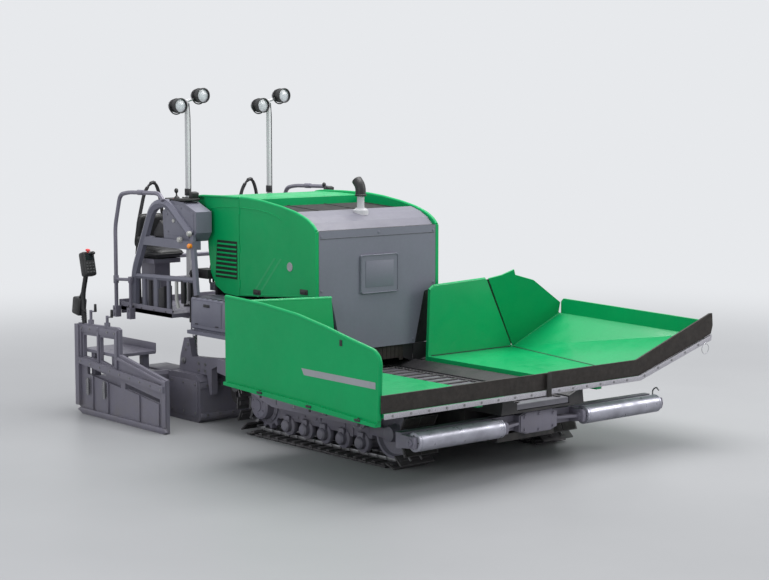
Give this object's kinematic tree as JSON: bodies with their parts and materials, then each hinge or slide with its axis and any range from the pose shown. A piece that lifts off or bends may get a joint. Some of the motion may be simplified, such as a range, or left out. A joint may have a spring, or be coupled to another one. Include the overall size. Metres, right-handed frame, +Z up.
{
  "type": "tracked asphalt paver",
  "caption": "Compact tracked asphalt paver with a green and grey body, folding hopper wings, push rollers, augers, an extending screed, seats and lamp masts.",
  "frame": {"origin": "Bottom centre of the bounding box, on the ground the tracks and the screed stand on. The machine's own middle plane is x = -0.11, because the left hopper wing is laid out further than the right one.", "axes": "+Z up, -Y toward the hopper at the front, +X toward the machine's left"},
  "size_m": [3.54, 4.6261, 2.845],
  "materials": {
    "body_green": "gloss",
    "body_grey": "satin",
    "steel_grey": "satin",
    "dark_frame": "satin",
    "light_grey": "satin",
    "bare_steel": "satin",
    "auger_steel": "matte",
    "chrome_rod": "gloss",
    "rubber": "matte",
    "black_plastic": "matte",
    "seat_vinyl": "satin"
  },
  "bodies": {
    "tractor": {"auger_gearbox": "dark_frame", "bulkhead": "dark_frame", "chassis_frame": "dark_frame", "console_left": "body_grey", "console_right": "body_grey", "conveyor_bed": "steel_grey", "cooling_grille": "dark_frame", "engine_block": "dark_frame", "exhaust_pipe": "light_grey", "grab_hoop_left": "dark_frame", "grab_hoop_right": "dark_frame", "hood_front": "body_grey", "hood_rear_cover": "body_green", "hood_top": "light_grey", "light_mast_left": "light_grey", "light_mast_right": "light_grey", "platform": "steel_grey", "rear_guard": "steel_grey", "seat_left": "seat_vinyl", "seat_right": "seat_vinyl", "side_box_left": "body_grey", "side_box_right": "body_grey", "side_rail_left": "steel_grey", "side_rail_right": "steel_grey", "track_frame_left": "steel_grey", "track_frame_right": "steel_grey", "track_left": "rubber", "track_right": "rubber", "tunnel_cover": "dark_frame"},
    "wing_left": {"wing_floor_left": "body_green", "wing_panel_left": "body_green", "wing_back_left": "body_green", "wing_corner_left": "body_green", "lip_left": "rubber", "lip_bar_left": "bare_steel"},
    "wing_right": {"wing_floor_right": "body_green", "wing_side_right": "body_green", "wing_back_right": "body_green", "lip_right": "rubber"},
    "push_beam": {"push_beam": "steel_grey"},
    "push_roller_left": {"push_roller_left": "bare_steel"},
    "push_roller_right": {"push_roller_right": "bare_steel"},
    "auger_left": {"auger_left": "auger_steel"},
    "auger_right": {"auger_right": "auger_steel"},
    "screed": {"screed_body": "steel_grey", "tow_arm_left": "steel_grey", "tow_arm_right": "steel_grey"},
    "extension_left": {"screed_extension_left": "steel_grey", "end_gate_left": "steel_grey", "screed_console_left": "black_plastic"},
    "extension_right": {"screed_extension_right": "steel_grey", "end_gate_right": "steel_grey", "screed_console_right": "black_plastic"},
    "lift_barrel_left": {"lift_barrel_left": "dark_frame"},
    "lift_rod_left": {"lift_rod_left": "chrome_rod"},
    "lift_barrel_right": {"lift_barrel_right": "dark_frame"},
    "lift_rod_right": {"lift_rod_right": "chrome_rod"},
    "hood_door_left": {"hood_door_left": "body_green"},
    "hood_door_right": {"hood_door_right": "body_green"}
  },
  "joints": [
    {"name": "wing_left_fold", "type": "hinge", "parent": "tractor", "child": "wing_left", "pos_m": [0.32, -1.301, 0.565], "axis": [0, -1, 0], "range_deg": [0, 50]},
    {"name": "wing_right_fold", "type": "hinge", "parent": "tractor", "child": "wing_right", "pos_m": [-0.54, -1.301, 0.565], "axis": [0, 1, 0], "range_deg": [0, 50]},
    {"name": "push_beam_swing", "type": "hinge", "parent": "tractor", "child": "push_beam", "pos_m": [-0.11, -1.921, 0.356], "axis": [0, 0, 1], "range_deg": [-8, 8]},
    {"name": "push_roller_left_spin", "type": "hinge", "parent": "push_beam", "child": "push_roller_left", "pos_m": [0.74, -2.212, 0.356], "axis": [1, 0, 0], "continuous": true},
    {"name": "auger_left_spin", "type": "hinge", "parent": "tractor", "child": "auger_left", "pos_m": [0.29, 0.719, 0.34], "axis": [1, 0, 0], "continuous": true},
    {"name": "push_roller_right_spin", "type": "hinge", "parent": "push_beam", "child": "push_roller_right", "pos_m": [-0.96, -2.212, 0.356], "axis": [1, 0, 0], "continuous": true},
    {"name": "auger_right_spin", "type": "hinge", "parent": "tractor", "child": "auger_right", "pos_m": [-0.51, 0.719, 0.34], "axis": [1, 0, 0], "continuous": true},
    {"name": "screed_lift", "type": "hinge", "parent": "tractor", "child": "screed", "pos_m": [-0.11, -1.251, 0.36], "axis": [1, 0, 0], "range_deg": [0, 4.5]},
    {"name": "screed_extension_left_slide", "type": "slide", "parent": "screed", "child": "extension_left", "axis": [1, 0, 0], "range_m": [-0.385, 0.3]},
    {"name": "screed_extension_right_slide", "type": "slide", "parent": "screed", "child": "extension_right", "axis": [-1, 0, 0], "range_m": [-0.385, 0.3]},
    {"name": "lift_barrel_left_pivot", "type": "hinge", "parent": "tractor", "child": "lift_barrel_left", "pos_m": [0.625, 1.329, 1.25], "axis": [1, 0, 0], "range_deg": [-2.27, 0]},
    {"name": "lift_rod_left_slide", "type": "slide", "parent": "lift_barrel_left", "child": "lift_rod_left", "axis": [0, 0.0133, 0.9999], "range_m": [0, 0.20101]},
    {"name": "lift_barrel_right_pivot", "type": "hinge", "parent": "tractor", "child": "lift_barrel_right", "pos_m": [-0.845, 1.329, 1.25], "axis": [1, 0, 0], "range_deg": [-2.27, 0]},
    {"name": "lift_rod_right_slide", "type": "slide", "parent": "lift_barrel_right", "child": "lift_rod_right", "axis": [0, 0.0133, 0.9999], "range_m": [0, 0.20101]},
    {"name": "hood_door_left_hinge", "type": "hinge", "parent": "tractor", "child": "hood_door_left", "pos_m": [0.55, 0.745, 1.4], "axis": [0, 0, 1], "range_deg": [0, 75]},
    {"name": "hood_door_right_hinge", "type": "hinge", "parent": "tractor", "child": "hood_door_right", "pos_m": [-0.77, 0.745, 1.4], "axis": [0, 0, -1], "range_deg": [0, 75]}
  ],
  "couplings": [
    {"joint": "lift_barrel_left_pivot", "follows": "screed_lift", "ratio": -0.50028},
    {"joint": "lift_rod_left_slide", "follows": "screed_lift", "m_per_rad": 2.553},
    {"joint": "lift_barrel_right_pivot", "follows": "screed_lift", "ratio": -0.50028},
    {"joint": "lift_rod_right_slide", "follows": "screed_lift", "m_per_rad": 2.553}
  ]
}
